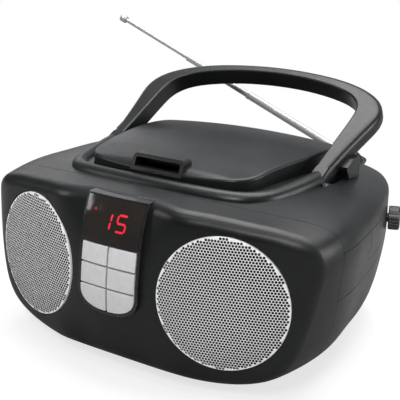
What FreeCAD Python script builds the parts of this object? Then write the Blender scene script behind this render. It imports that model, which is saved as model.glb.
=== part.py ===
import FreeCAD, Part
import math
import os
from FreeCAD import Vector, Matrix

# Portable CD radio with a carrying handle and a telescopic antenna.
# Millimetres, +Z up, the front faces -Y, right is +X. The shapes are drawn from a front datum
# (y = 0 near the foremost key, z = 0 on the drawing base line) and moved by ORIGIN_SHIFT
# when written.
ORIGIN_SHIFT = Vector(0, -103.0, 14.0)

WALL = 2.6                # cabinet wall
FRONT_EDGE_R = 9.0        # rounding of the front rim
REAR_EDGE_R = 3.0
SEAM = 0.2                # half of a parting gap
Z_UPPER = 80.5            # upper parting plane
Z_LOWER = 50.0            # lower parting plane
FLOOR = -11.5             # underside of the cabinet
BOARD_T = 1.6             # circuit board thickness

DISC = (0.0, 117.5)       # x, y of the disc centre
SIDES = ((1, "right"), (-1, "left"))

os.makedirs("parts", exist_ok=True)


# ---------------------------------------------------------------- helpers
def cylinder(r, start, end):
    start, end = Vector(*start), Vector(*end)
    return Part.makeCylinder(r, (end - start).Length, start, end - start)


def cyl_x(r, x0, x1, y, z):
    return cylinder(r, (x0, y, z), (x1, y, z))


def cyl_y(r, y0, y1, x, z):
    return cylinder(r, (x, y0, z), (x, y1, z))


def cyl_z(r, z0, z1, x, y):
    return cylinder(r, (x, y, z0), (x, y, z1))


def box(x0, x1, y0, y1, z0, z1):
    return Part.makeBox(x1 - x0, y1 - y0, z1 - z0, Vector(x0, y0, z0))


def centred_box(x, z, half_x, half_z, y0, y1):
    return box(x - half_x, x + half_x, y0, y1, z - half_z, z + half_z)


def side_box(side, x0, x1, y0, y1, z0, z1):
    """Box given for the right side; side -1 puts it on the left."""
    x0, x1 = sorted((side * x0, side * x1))
    return box(x0, x1, y0, y1, z0, z1)


def side_cyl_x(side, r, x0, x1, y, z):
    """Cylinder along X given for the right side; side -1 puts it on the left."""
    x0, x1 = sorted((side * x0, side * x1))
    return cyl_x(r, x0, x1, y, z)


def mirror(shape):
    return shape.mirror(Vector(0, 0, 0), Vector(1, 0, 0))


def both_sides(shape):
    return Part.makeCompound([shape, mirror(shape)])


def largest_solid(shape):
    return max(shape.Solids, key=lambda solid: solid.Volume)


def try_fillet(shape, r, pick):
    """Fillet the picked edges, with a smaller radius where the full one fails."""
    edges = [e for e in shape.Edges if pick(e)]
    if not edges:
        return shape
    for radius in (r, r * 0.6, r * 0.35):
        # Guards against a radius the kernel cannot build; if all fail the edges stay sharp.
        try:
            rounded = shape.makeFillet(radius, edges)
            if rounded.isValid() and rounded.Volume > 0:
                return rounded
        except Exception:
            pass
    return shape


def interp(x, table):
    """Linear interpolation in (x, value) pairs, held constant beyond the ends."""
    if x <= table[0][0]:
        return table[0][1]
    for (xa, ya), (xb, yb) in zip(table, table[1:]):
        if x <= xb:
            return ya + (x - xa) / (xb - xa) * (yb - ya)
    return table[-1][1]


def spline_face(grid):
    surface = Part.BSplineSurface()
    surface.interpolate(grid)
    return surface.toShape()


def revolve(profile):
    """Solid of revolution about Z from an (r, z) polygon."""
    points = [Vector(r, 0, z) for r, z in profile]
    return Part.Face(Part.makePolygon(points + points[:1])).revolve(
        Vector(0, 0, 0), Vector(0, 0, 1), 360)


def in_frame(shape, u, v, w, origin):
    """Copy of a shape with its X, Y, Z axes laid along u, v, w."""
    placed = shape.copy()
    placed.Placement = FreeCAD.Placement(Matrix(
        u.x, v.x, w.x, origin.x,
        u.y, v.y, w.y, origin.y,
        u.z, v.z, w.z, origin.z,
        0, 0, 0, 1))
    return placed


def close_ring(half):
    """Whole outline from its right half, whose ends lie on the middle plane."""
    return half + [(-x, y) for x, y in reversed(half[1:-1])]


def offset_ring(ring, distance):
    """Move each point to the right of the direction of travel."""
    moved = []
    for i, (x, y) in enumerate(ring):
        xa, ya = ring[i - 1]
        xb, yb = ring[(i + 1) % len(ring)]
        tx, ty = xb - xa, yb - ya
        length = math.hypot(tx, ty)
        moved.append((x + distance * ty / length, y - distance * tx / length))
    return moved


def export(name, shape):
    shape = shape.copy()
    shape.translate(ORIGIN_SHIFT)
    if shape.ShapeType == "Compound" and len(shape.Solids) == 1:
        shape = shape.Solids[0]
    shape.exportStep("parts/%s.step" % name)


# ---------------------------------------------------------------- outer form
# y, half width, z of widest point, z of top centre, z of bottom, crown factor
STATIONS = [
    (-6, 112.0, 76, 101.0, 27.0, 1.00),
    (2, 115.0, 76, 102.0, 11.0, 1.00),
    (10, 117.5, 76.5, 102.8, -0.5, 1.00),
    (18, 119.5, 77, 103.5, -6.0, 1.00),
    (28, 122.3, 78, 104.0, -9.8, 1.00),
    (40, 125.5, 79, 104.6, -11.2, 1.00),
    (60, 129.0, 80, 106.0, -11.5, 1.00),
    (85, 128.5, 80.5, 107.0, -11.5, 1.00),
    (115, 124.5, 81, 107.0, -11.5, 0.98),
    (146, 117.8, 82, 105.0, -11.5, 0.88),
    (176, 108.0, 83, 100.5, -11.0, 0.75),
    (212, 94.0, 84, 94.5, -10.0, 0.66),
]
REFERENCE_STATION = STATIONS[6]    # sets the spline parameters of all sections
REFERENCE_HALF_W = 126.0           # narrower sections have their lower curve scaled down
# Upper curve: fraction of half width, drop below the top centre
UPPER_CURVE = [(0.0, 0.0), (0.115, 0.15), (0.23, 0.6), (0.465, 2.6), (0.70, 6.1),
               (0.868, 9.5), (0.93, 12.3), (0.975, 16.8)]
# Lower curve: distance in from the half width, z
LOWER_CURVE = [(1.2, 60.0), (2.3, 50.0), (3.9, 40.0), (6.0, 30.0), (8.4, 21.5), (11.6, 14.5),
               (16.0, 8.6), (22.5, 3.0), (31.0, -1.5), (42.0, -5.4), (57.0, -8.7),
               (75.0, -10.7), (97.0, -11.4)]

# Front face, |x| and y of the sweep
FACE_SWEEP = [(0, 2.8), (11, 3.15), (22, 4.2), (33, 6.5), (45, 9.9), (58, 13.5), (72.7, 17.7),
              (86, 21.4), (100, 25.4), (112, 29.1), (119, 32.6), (124, 36.5), (130, 44.0),
              (140, 62.0), (155, 95.0)]
# Front face, z and y added near the middle
FACE_MIDDLE = [(-40, 30), (-10, 11), (5, 4.2), (20, 1.4), (33, 0.6), (48, 1.0), (61.7, 2.5),
               (74.7, 4.8), (89, 8.7), (103.3, 13.9), (120, 24)]
# Front face, z and y added at the sides
FACE_SIDE = [(-40, 30), (-10, 8), (3, -0.5), (12, -2.0), (30, -1.3), (50, 0.0), (75, 1.6),
             (92, 2.9), (103, 5.2), (120, 12.0)]
FACE_GRID_Z = [-40, -25, -10, 3, 12, 20, 33, 48, 61.7, 74.7, 89, 97, 103.3, 112, 120]
# Seam between the front cabinet and the rest, |x| and y
SEAM_LINE = [(0, 36.5), (20, 37.1), (40, 38.85), (60, 41.8), (80, 45.9), (100, 51.2),
             (112, 54.9), (120, 57.4), (127, 59.2), (135, 60.0), (160, 60.5)]
# Rear wall, |x| and y
REAR_LINE = [(0, 206.5), (30, 206.3), (60, 205.0), (75, 202.3), (84, 198.2), (95, 190.5),
             (103, 181.5), (109, 170), (113.5, 158.5), (117.5, 147), (123, 128), (135, 90),
             (160, 20)]


def section_half(station, inset):
    """Right half of a cross-section as (x, z), from top centre to bottom centre."""
    _, half_w, z_wide, top, bottom, crown = station
    half = [(fraction * half_w, top - crown * drop) for fraction, drop in UPPER_CURVE]
    half.append((half_w, z_wide))
    for dx, z in LOWER_CURVE:
        half.append((half_w - dx * min(1.0, half_w / REFERENCE_HALF_W),
                     bottom + (z - FLOOR) * (z_wide - bottom) / (z_wide - FLOOR)))
    half.append((0.0, bottom))
    return offset_ring(close_ring(half), inset)[:len(half)]


def half_loft(inset):
    """Right half of the outer form, from the middle plane outwards."""
    reference = section_half(REFERENCE_STATION, inset)
    parameters = [0.0]
    for (xa, za), (xb, zb) in zip(reference, reference[1:]):
        parameters.append(parameters[-1] + math.hypot(xb - xa, zb - za))
    wires = []
    for station in STATIONS:
        points = [Vector(x, station[0], z) for x, z in section_half(station, inset)]
        points[0].x = 0.0
        points[-1].x = 0.0
        curve = Part.BSplineCurve()
        curve.interpolate(Points=points, Parameters=parameters,
                          InitialTangent=Vector(1, 0, 0), FinalTangent=Vector(-1, 0, 0))
        wires.append(Part.Wire([curve.toShape(),
                                Part.LineSegment(points[-1], points[0]).toShape()]))
    return Part.makeLoft(wires, True, False)


def whole(half):
    """Both halves joined at the middle plane."""
    return largest_solid(half.fuse(mirror(half)))


def face_y(x, z):
    """Front face: sweep plus a blend of the middle and side profiles."""
    x = abs(x)
    t = min(1.0, max(0.0, (x - 20.0) / 26.0))
    blend = t * t * (3 - 2 * t)
    return (interp(x, FACE_SWEEP) + (1 - blend) * interp(z, FACE_MIDDLE)
            + blend * interp(z, FACE_SIDE))


def seam_y(x):
    return interp(abs(x), SEAM_LINE)


def rear_y(x):
    return interp(abs(x), REAR_LINE)


def face_cutter(offset):
    """Everything in front of the front face moved back by offset."""
    right = [x for x, _ in FACE_SWEEP]
    xs = [-x for x in reversed(right[1:])] + right
    grid = [[Vector(x, face_y(x, z) + offset, z) for z in FACE_GRID_Z] for x in xs]
    return spline_face(grid).extrude(Vector(0, -200, 0))


def upright_region(y_at, offset, direction):
    """Region behind (direction 1) or in front of (-1) the upright wall y = y_at(x) + offset."""
    curve = Part.BSplineCurve()
    curve.interpolate([Vector(x, y_at(x) + offset, -60) for x in range(-160, 161, 10)])
    wall = curve.toShape().extrude(Vector(0, 0, 240))
    return wall.extrude(Vector(0, 400 * direction, 0))


def edge_middle(e):
    return e.valueAt((e.FirstParameter + e.LastParameter) / 2)


def near_face(e, offset=0.0):
    p = edge_middle(e)
    return abs(p.y - face_y(p.x, p.z) - offset) < 0.8 and e.BoundBox.XMax > 1.0


def near_rear(e):
    p = edge_middle(e)
    return abs(p.y - rear_y(p.x)) < 0.8 and p.y > 150 and e.BoundBox.XMax > 1.0


def trimmed_half(inset):
    return largest_solid(half_loft(inset).cut(face_cutter(inset))
                         .cut(upright_region(rear_y, -inset, 1)))


outer_half = try_fillet(trimmed_half(0), FRONT_EDGE_R, near_face)
outer = whole(try_fillet(outer_half, REAR_EDGE_R, near_rear))
inner = whole(try_fillet(trimmed_half(WALL), FRONT_EDGE_R - WALL,
                         lambda e: near_face(e, WALL)))

shell = outer.cut(inner)
front = largest_solid(shell.common(upright_region(seam_y, -SEAM, -1)))
behind_seam = shell.common(upright_region(seam_y, SEAM, 1))


def shell_layer(z0, z1):
    return largest_solid(behind_seam.common(box(-200, 200, -50, 300, z0, z1)))


top = shell_layer(Z_UPPER + SEAM, 200)
rear = shell_layer(Z_LOWER + SEAM, Z_UPPER - SEAM)
bottom = shell_layer(-60, Z_LOWER - SEAM)

# ---------------------------------------------------------------- speakers
SPEAKER_CENTRE = (72.68, 17.72, 50.0)
SPEAKER_YAW = math.radians(15.74)      # turned outwards
SPEAKER_PITCH = math.radians(3.74)     # leaning back
GRILLE_R = 41.0
GRILLE_T = 0.7
GRILLE_DOME_R = 40.2
GRILLE_RISE = 2.6
GRILLE_FLANGE = 3.0


def at_speaker(shape, side):
    """Place a shape so that its +Z points out of the grille."""
    w = Vector(math.sin(SPEAKER_YAW) * math.cos(SPEAKER_PITCH) * side,
               -math.cos(SPEAKER_YAW) * math.cos(SPEAKER_PITCH), math.sin(SPEAKER_PITCH))
    u = Vector(math.cos(SPEAKER_YAW), math.sin(SPEAKER_YAW) * side, 0)
    x, y, z = SPEAKER_CENTRE
    return in_frame(shape, u, w.cross(u), w, Vector(x * side, y, z))


def speaker_grille():
    """Shallow dome sheet with a rim flange turned inwards."""
    dome_r = (GRILLE_DOME_R ** 2 + GRILLE_RISE ** 2) / (2 * GRILLE_RISE)
    steps = 10

    def arc(sphere_r, r):
        return r, math.sqrt(sphere_r ** 2 - r * r) - (dome_r - GRILLE_RISE) + 0.4

    outside = [arc(dome_r, GRILLE_DOME_R * i / steps) for i in range(steps + 1)]
    inside = [arc(dome_r - GRILLE_T, (GRILLE_DOME_R - GRILLE_T * 0.6) * (steps - i) / steps)
              for i in range(steps + 1)]
    flange_r = GRILLE_R - GRILLE_T
    return revolve(outside + [(GRILLE_R, 0.2), (GRILLE_R, -GRILLE_FLANGE),
                              (flange_r, -GRILLE_FLANGE), (flange_r, -0.5)] + inside)


def speaker_basket():
    basket = revolve([(36.0, -7.7), (43.5, -7.7), (43.5, -9.0), (37.6, -9.0), (22.5, -24.0),
                      (22.5, -26.0), (6.0, -26.0), (6.0, -24.6), (20.6, -24.6), (35.6, -10.2)])
    for i in range(6):
        a = math.radians(30 + 60 * i)
        basket = basket.cut(cylinder(5.2, (20 * math.cos(a), 20 * math.sin(a), -14),
                                     (42 * math.cos(a), 42 * math.sin(a), -19)))
    return basket


def speaker_magnet():
    """Ring with a stepped core."""
    ring = revolve([(3.0, -26.1), (19.5, -26.1), (19.5, -36.0), (3.0, -36.0)])
    core = revolve([(0.0, -19.0), (2.95, -19.0), (2.95, -30.0), (3.05, -30.0), (3.05, -34.0),
                    (0.0, -34.0)])
    return largest_solid(ring.fuse(core))


def speaker_cone():
    """Cone with its surround, a tube behind it and a collar that joins them."""
    cone = revolve([(0.0, -14.6), (8.0, -17.2), (8.0, -18.2), (27.0, -9.9), (29.0, -9.2),
                    (31.0, -8.6), (33.5, -8.9), (33.5, -8.3), (31.0, -7.9), (28.8, -8.5),
                    (27.0, -9.1), (9.0, -17.0), (6.0, -15.0), (0.0, -13.8)])
    cone = cone.fuse(revolve([(4.6, -17.0), (5.2, -17.0), (5.2, -21.6), (4.6, -21.6)]))
    cone = cone.fuse(revolve([(4.6, -17.3), (8.2, -17.3), (8.2, -16.4), (4.6, -16.4)]))
    return largest_solid(cone)


for part, shape in (("grille", speaker_grille()), ("basket", speaker_basket()),
                    ("magnet", speaker_magnet()), ("cone", speaker_cone())):
    for side, tag in SIDES:
        export("speaker_%s_%s" % (part, tag), at_speaker(shape, side))

# Seat ring in the front wall: recess, grille socket, opening (radius, z0, z1)
for side, _ in SIDES:
    front = front.fuse(at_speaker(cyl_z(44.5, -7.5, -1.6, 0, 0), side).common(inner))
    for r, z0, z1 in ((41.9, -1.2, 30.0), (GRILLE_R + 0.15, -4.4, 0.0), (38.0, -30.0, 0.0)):
        front = front.cut(at_speaker(cyl_z(r, z0, z1, 0, 0), side))
front = largest_solid(front)

# ---------------------------------------------------------------- control panel
# z and y of the panel surface on the middle plane
PANEL_PROFILE = [(-60.0, 2.0), (20.0, 0.6), (33.0, 0.4), (48.0, 0.8), (61.7, 2.3),
                 (74.7, 4.6), (89.0, 8.7), (103.3, 14.6), (112.0, 19.0)]
PANEL_BOW = 0.0018         # y added per x squared
PANEL_GRID_X = [-30, -15, 0, 15, 30]
PANEL_GRID_Z = [-20.0, 5.0, 20.0, 33.0, 48.0, 61.7, 74.7, 89.0, 96.0, 103.3, 112.0]
TONGUE_SIDE_Z = 46.0       # the straight sides end and the rounded lower end starts
TONGUE_POWER = 2.45        # superellipse exponent of the lower end

DIGIT_H, DIGIT_W, DIGIT_Z = 9.6, 6.6, 84.1
DIGIT_SLANT = 0.13
BAR_W = 1.25
BAR_GAP = 0.22             # from a bar's tip to the corner of the digit
LED_X, LED_Z = -14.3, 94.2

KEY_GAP = 0.28
KEY_PROUD = 0.35           # height of the keys above the panel
KEY_X = 10.4
# z of upper and lower limit and of the centre; the lowest row ends at the tongue
KEY_ROWS = [(74.5, 61.7, 67.6), (61.7, 48.1, 54.9), (48.1, 0.0, 42.5)]

CONTROL_BOARD_Y = 21.0     # front of the control board
CONTROL_SCREWS = [(x, z) for x in (-24.8, 24.8) for z in (36.0, 96.5)]


def panel_y(x, z):
    return interp(z, PANEL_PROFILE) + PANEL_BOW * x * x


def panel_layer(near, far):
    """Layer that follows the panel surface between two offsets into the body."""
    grid = [[Vector(x, panel_y(x, z) + near, z) for z in PANEL_GRID_Z] for x in PANEL_GRID_X]
    return spline_face(grid).extrude(Vector(0, far - near, 0))


def panel_band(z0, z1):
    return box(-40, 40, -20, 60, z0, z1)


def tongue(half_w, z_top, z_bottom, y1=60):
    """Prism along Y with straight sides and a rounded lower end."""
    y0 = -20
    corners = [Vector(-half_w, y0, TONGUE_SIDE_Z), Vector(-half_w, y0, z_top),
               Vector(half_w, y0, z_top), Vector(half_w, y0, TONGUE_SIDE_Z)]
    edges = [Part.LineSegment(a, b).toShape() for a, b in zip(corners, corners[1:])]
    power = 2.0 / TONGUE_POWER
    steps = 12
    points = []
    for i in range(steps + 1):
        a = math.pi * i / steps
        points.append(Vector(
            half_w * math.copysign(abs(math.cos(a)) ** power, math.cos(a)), y0,
            TONGUE_SIDE_Z - (TONGUE_SIDE_Z - z_bottom) * abs(math.sin(a)) ** power))
    curve = Part.BSplineCurve()
    curve.interpolate(points)
    edges.append(curve.toShape())
    outline = Part.Wire(Part.__sortEdges__(edges))
    return Part.Face(outline).extrude(Vector(0, y1 - y0, 0))


def bezel_hole(y1):
    return tongue(23.12, 103.15, 31.05, y1)


def control_bezel():
    """Frame with a window seat above and the key opening below."""
    bezel = tongue(23.0, 103.0, 31.2).common(panel_layer(0.0, 7.0))
    bezel = bezel.cut(tongue(21.7, 102.0, 32.5).common(panel_layer(-5, 3.2))
                      .common(panel_band(75.3, 110)))
    bezel = bezel.cut(tongue(21.2, 74.85, 33.0).common(panel_band(0, 74.85)))
    bezel = bezel.cut(box(-15.5, 18.5, -20, 60, 80.0, 98.2))
    return try_fillet(largest_solid(bezel), 0.9, lambda e: (
        e.BoundBox.XLength > 40 and abs(e.BoundBox.Center.z - 103) < 2
        and e.BoundBox.YMin < panel_y(0, 103) + 0.9))


def segment_bar(x0, z0, x1, z1):
    """One light bar with pointed ends in the panel plane."""
    length = math.hypot(x1 - x0, z1 - z0)
    ux, uz = (x1 - x0) / length, (z1 - z0) / length
    tip, h = BAR_GAP, BAR_W / 2
    points = [Vector(x0 + ux * s - uz * t, -10, z0 + uz * s + ux * t)
              for s, t in ((tip, 0), (tip + h, h), (length - tip - h, h), (length - tip, 0),
                           (length - tip - h, -h), (tip + h, -h))]
    return Part.Face(Part.makePolygon(points + points[:1])).extrude(Vector(0, 60, 0))


# Ends of the seven segments as fractions of digit width and height
SEGMENTS = {"a": ((0, 1), (1, 1)), "b": ((1, 1), (1, .5)), "c": ((1, .5), (1, 0)),
            "d": ((0, 0), (1, 0)), "e": ((0, .5), (0, 0)), "f": ((0, 1), (0, .5)),
            "g": ((0, .5), (1, .5))}


def digit(x_centre, segments):
    def corner(fx, fz):
        z = DIGIT_Z + fz * DIGIT_H
        return x_centre + (fx - 0.5) * DIGIT_W + (z - DIGIT_Z - DIGIT_H / 2) * DIGIT_SLANT, z
    return [segment_bar(*corner(*SEGMENTS[s][0]), *corner(*SEGMENTS[s][1])) for s in segments]


def make_display():
    """Window, the light bars of the number 15 set in it, and the power lamp."""
    window = tongue(21.6, 101.9, 32.6).common(panel_layer(-0.25, 3.1))
    window = largest_solid(window.common(panel_band(75.4, 110)))
    bars = digit(-4.4, "bc") + digit(7.0, "afgcd")
    slots = Part.makeCompound([bar.common(panel_layer(-2.0, 5.0)) for bar in bars])
    window = largest_solid(window.cut(slots))
    export("display_window", window.cut(cyl_y(1.05, -20, 60, LED_X, LED_Z)))
    export("led_digits",
           Part.makeCompound([bar.common(panel_layer(-0.27, 2.6)) for bar in bars]))
    y = panel_y(LED_X, LED_Z)
    export("power_led", cyl_y(1.0, y - 0.35, y + 3.2, LED_X, LED_Z))
    export("led_module", box(-14.8, 17.8, 16.2, CONTROL_BOARD_Y - 0.1, 80.6, 97.6))


def on_key_front(e):
    return e.Length > 3 and max(
        abs(v.Point.y - (panel_y(v.Point.x, v.Point.z) - KEY_PROUD)) for v in e.Vertexes) < 0.05


def right_key(row):
    """Key cap with a stem and a flange behind it."""
    z_top, z_bottom, z = KEY_ROWS[row]
    key = tongue(20.95, 74.6, 33.3).common(
        box(KEY_GAP, 40, -20, 60, z_bottom + KEY_GAP, z_top - (KEY_GAP if row else 0.0)))
    key = largest_solid(key.common(panel_layer(-KEY_PROUD, 4.6)))
    key = try_fillet(key, 0.45, on_key_front)
    y = panel_y(KEY_X, z)
    key = key.fuse(centred_box(KEY_X, z, 1.6, 1.6, y + 3.5, 15.4))
    return largest_solid(key.fuse(centred_box(KEY_X, z, 7.6, 4.0, y + 4.2, y + 5.6)))


def control_board():
    """Board with one switch behind each key."""
    board = box(-27.5, 27.5, CONTROL_BOARD_Y, CONTROL_BOARD_Y + BOARD_T, 33.0, 99.5)
    for x, z in CONTROL_SCREWS:
        board = board.cut(cyl_y(1.3, 15, 30, x, z))
    switches = [centred_box(x, z, 3, 3, 17.6, CONTROL_BOARD_Y - 0.1)
                .fuse(cyl_y(1.6, 16.4, 17.6, x, z))
                for _, _, z in KEY_ROWS for x in (KEY_X, -KEY_X)]
    return Part.makeCompound([board] + switches)


export("control_bezel", control_bezel())
make_display()
for row in range(len(KEY_ROWS)):
    key = right_key(row)
    export("key_r%d" % (row + 1), key)
    export("key_l%d" % (row + 1), mirror(key))
export("control_board", control_board())

# Opening for the bezel, and posts of the front wall that carry the control board
small_screws = []
front = largest_solid(front.cut(bezel_hole(40)))
for x, z in CONTROL_SCREWS:
    y = face_y(x, z)
    post = cyl_y(2.3, y + 1.6, CONTROL_BOARD_Y - 0.1, x, z).cut(bezel_hole(20.95))
    front = front.fuse(largest_solid(post))
    front = front.cut(cyl_y(0.85, max(12.5, y + 1.9), 22, x, z))
    small_screws.append(largest_solid(
        cyl_y(2.0, 22.7, 24.2, x, z).fuse(cyl_y(0.8, max(14.5, y + 2.2), 22.8, x, z))))
front = largest_solid(front)
export("front_cabinet", front)

# ---------------------------------------------------------------- lid and well
# x, y of the right half of the lid outline, front to rear
LID_HALF = [(0, 52.5), (22, 53.1), (42, 55.2), (55, 59.8), (62, 68), (65.5, 84), (69, 108),
            (72.5, 136), (73.2, 156), (70.5, 170), (61, 178.6), (42, 181.6), (0, 182.2)]
LID_Z = 99.7               # lower rim of the lid
LID_T = 2.2
# y and z of the lid top on the middle plane
LID_PROFILE = [(40, 108.2), (52, 109.6), (58, 113.3), (64, 114.3), (80, 116.2), (105, 117.6),
               (130, 117.6), (150, 116.6), (165, 114.8), (175, 112.6), (184, 109.2), (200, 100)]
LID_BOW = 0.00072          # drop per x squared
LID_GRID_X = [-95, -75, -60, -40, -20, 0, 20, 40, 60, 75, 95]
LID_GRID_Y = [35, 48, 53, 58, 64, 80, 105, 130, 150, 163, 172, 179, 186, 200]
HINGE_Y, HINGE_Z = 177.5, 104.5
HINGE_R = 2.1
HINGE_PIN_R = 1.0


def lid_prism(offset, z0, z1):
    """Upright prism on the lid outline grown by offset."""
    points = [Vector(x, y, z0) for x, y in offset_ring(close_ring(LID_HALF), offset)]
    curve = Part.BSplineCurve()
    curve.interpolate(Points=points, PeriodicFlag=True)
    return Part.Face(Part.Wire([curve.toShape()])).extrude(Vector(0, 0, z1 - z0))


def lid_body(offset, z0):
    """Lid prism under the lid top, both moved by offset."""
    grid = [[Vector(x, y, interp(y, LID_PROFILE) - LID_BOW * x * x + offset)
             for y in LID_GRID_Y] for x in LID_GRID_X]
    above = spline_face(grid).extrude(Vector(0, 0, 80))
    return lid_prism(offset, z0, 130).cut(above)


def finger_tab():
    """Hood on the front of the lid with a slanted front."""
    tab = box(-19.8, 19.8, 51.6, 66.0, 108.5, 118.6)
    tab = try_fillet(tab, 3.2, lambda e: e.BoundBox.YLength > 10 and e.BoundBox.ZMin > 115)
    tab = try_fillet(tab, 2.4, lambda e: e.BoundBox.ZMin > 117 and e.BoundBox.YMin > 62)
    slant = [Vector(-30, y, z) for y, z in
             ((40, 119.5), (57.5, 119.5), (51.0, 106), (40, 106), (40, 119.5))]
    return tab.cut(Part.Face(Part.makePolygon(slant)).extrude(Vector(60, 0, 0)))


def cd_lid():
    lid = largest_solid(lid_body(0, LID_Z))
    lid = try_fillet(lid, 2.0, lambda e: e.BoundBox.ZMin > 104 and e.Length > 30)
    cavity = lid_body(-LID_T, 90)
    lid = largest_solid(lid.cut(cavity))
    for side, _ in SIDES:
        knuckle = side_cyl_x(side, HINGE_R, 50.0, 53.4, HINGE_Y, HINGE_Z)
        knuckle = knuckle.fuse(side_box(side, 50.0, 53.4, HINGE_Y - HINGE_R, HINGE_Y + 2.4,
                                        HINGE_Z, 110.5))
        lid = lid.fuse(knuckle.common(lid_body(-1.0, 90)))
        lid = lid.cut(side_cyl_x(side, HINGE_PIN_R + 0.05, 45, 60, HINGE_Y, HINGE_Z))
        # room for the ear of the cabinet
        lid = lid.cut(side_box(side, 53.4, 58.2, 174.9, 190, 96, 107.1))
    lid = largest_solid(lid)
    hollow = box(-17.3, 17.3, 40, 62.8, 110.6, 116.4)
    hollow = try_fillet(hollow, 1.6,
                        lambda e: e.BoundBox.YLength > 10 and e.BoundBox.ZMin > 115)
    return largest_solid(lid.fuse(finger_tab().cut(cavity)).cut(hollow))


export("cd_lid", cd_lid())
export("lid_hinge_pins", both_sides(cyl_x(HINGE_PIN_R, 46.0, 57.6, HINGE_Y, HINGE_Z)))

# ---------------------------------------------------------------- top cabinet
# x, y, z of the right half of the bead that frames the lid, front to rear
BEAD_HALF = [(0, 44.5, 103.0), (26, 45.4, 102.8), (50, 49.2, 101.9), (64, 55.4, 101.1),
             (72.5, 66, 100.7), (77, 80, 100.9), (80.6, 96, 101.7), (83.2, 113.5, 102.9),
             (84.0, 124, 103.5)]
BEAD_R = 5.8
PIVOT_Y, PIVOT_Z = 121.0, 96.5         # handle pivot
HANDLE_PIN_R = 2.5
ANTENNA_X, ANTENNA_Y, ANTENNA_Z = 64.0, 220.0, 85.2
CASE_POSTS = [(60, 78), (-60, 78), (62, 165), (-62, 165)]
DAMPERS = [(33, 56), (-33, 56), (33, 140), (-33, 140)]


def lid_bead():
    points = [Vector(-x, y, z) for x, y, z in reversed(BEAD_HALF[1:])]
    points += [Vector(*p) for p in BEAD_HALF]
    curve = Part.BSplineCurve()
    curve.interpolate(points)
    start = curve.FirstParameter
    profile = Part.Circle(curve.value(start), curve.tangent(start)[0], BEAD_R)
    return Part.Wire([curve.toShape()]).makePipeShell(
        [Part.Wire([profile.toShape()])], True, True)


def add_disc_well(top):
    """Tub under the lid with hinge ears, framed by the bead."""
    well = lid_prism(-3.2, 94.5, 140).fuse(lid_prism(0.45, 99.5, 140))
    top = top.fuse(lid_prism(2.6, 92.0, 125.0).common(outer)).cut(well)
    top = top.cut(box(-60, 60, 171.0, 182.4, 96.0, 103))
    # openings for the hub and the pickup
    top = top.cut(cyl_z(16.6, 90, 96, *DISC))
    top = top.cut(box(-15.5, 15.5, 57.5, 102.0, 90, 96))
    for side, _ in SIDES:
        ear = side_box(side, 53.8, 57.8, HINGE_Y - HINGE_R, HINGE_Y + HINGE_R, 92.2, HINGE_Z)
        top = top.fuse(ear.fuse(side_cyl_x(side, HINGE_R, 53.8, 57.8, HINGE_Y, HINGE_Z)))
        top = top.cut(side_cyl_x(side, HINGE_PIN_R + 0.03, 40, 57.75, HINGE_Y, HINGE_Z))
    return top.fuse(lid_bead().cut(inner).cut(well))


def add_handle_pockets(top):
    for side, _ in SIDES:
        top = top.fuse(side_box(side, 73.5, 94.5, 104.0, 138.0, 80.9, 103.0).common(outer))
        top = top.cut(side_cyl_x(side, 14.4, 77.7, 90.8, PIVOT_Y, PIVOT_Z))
        top = top.cut(side_cyl_x(side, HANDLE_PIN_R + 0.02, 76.0, 93.0, PIVOT_Y, PIVOT_Z))
        top = top.cut(side_box(side, 77.7, 92.0, 116.0, 134.5, 98.0, 125))
    return largest_solid(top)


def add_antenna_boss(top):
    top = top.fuse(cyl_y(8.5, 198.0, 207.6, ANTENNA_X, ANTENNA_Z + 4.5)
                   .common(box(-200, 200, 100, 300, Z_UPPER + SEAM, 98)))
    top = top.fuse(box(ANTENNA_X - 8.5, ANTENNA_X + 8.5, 192.0, 206.9, 80.9, 93).common(outer))
    return largest_solid(top.cut(cyl_y(3.05, 195.0, 210.0, ANTENNA_X, ANTENNA_Z)))


def add_top_posts(top):
    """Posts for the case screws, then stepped posts for the drive dampers."""
    for x, y in CASE_POSTS:
        top = top.fuse(cyl_z(4.5, 30.3, 93.0, x, y))
        top = top.cut(cyl_z(1.55, 29, 52, x, y))
    for x, y in DAMPERS:
        top = top.fuse(cyl_z(4.0, 86.6, 93.0, x, y)).fuse(cyl_z(1.55, 81.5, 87.0, x, y))
        top = top.cut(cyl_z(0.85, 80, 91.5, x, y))
    return largest_solid(top)


export("top_cabinet",
       add_top_posts(add_antenna_boss(add_handle_pockets(add_disc_well(top)))))
export("case_screws", Part.makeCompound([
    cyl_z(3.3, 12.2, 14.5, x, y).fuse(cyl_z(1.5, 14.5, 48, x, y)) for x, y in CASE_POSTS]))

# ---------------------------------------------------------------- handle
HANDLE_TILT = 25.0         # degrees above the horizontal
HANDLE_T = 13.0            # thickness across the handle plane
HANDLE_ORIGIN = (114.0, 107.5)         # y, z
ROOT_R = 14.0
# Half outlines in the handle plane: x, distance up the tilted plane
HANDLE_OUTER = [(88.0, -6), (88.6, 8), (90.6, 24), (93.2, 40), (95.8, 54), (97.0, 64),
                (95.6, 73.5), (90.8, 82.0), (83.0, 89.0), (71.0, 95.6), (52.0, 101.8),
                (28.0, 105.8), (0, 107.4)]
HANDLE_INNER = [(78.6, -6), (78.8, 20), (79.2, 45), (79.3, 60), (78.0, 70.5), (73.6, 78.6),
                (66.0, 84.8), (52.0, 90.6), (30.0, 95.6), (0, 97.8)]


def handle_point(x, along, normal):
    """Point from x, distance up the handle plane and distance off it."""
    c, s = math.cos(math.radians(HANDLE_TILT)), math.sin(math.radians(HANDLE_TILT))
    y, z = HANDLE_ORIGIN
    return Vector(x, y + along * c - normal * s, z + along * s + normal * c)


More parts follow.
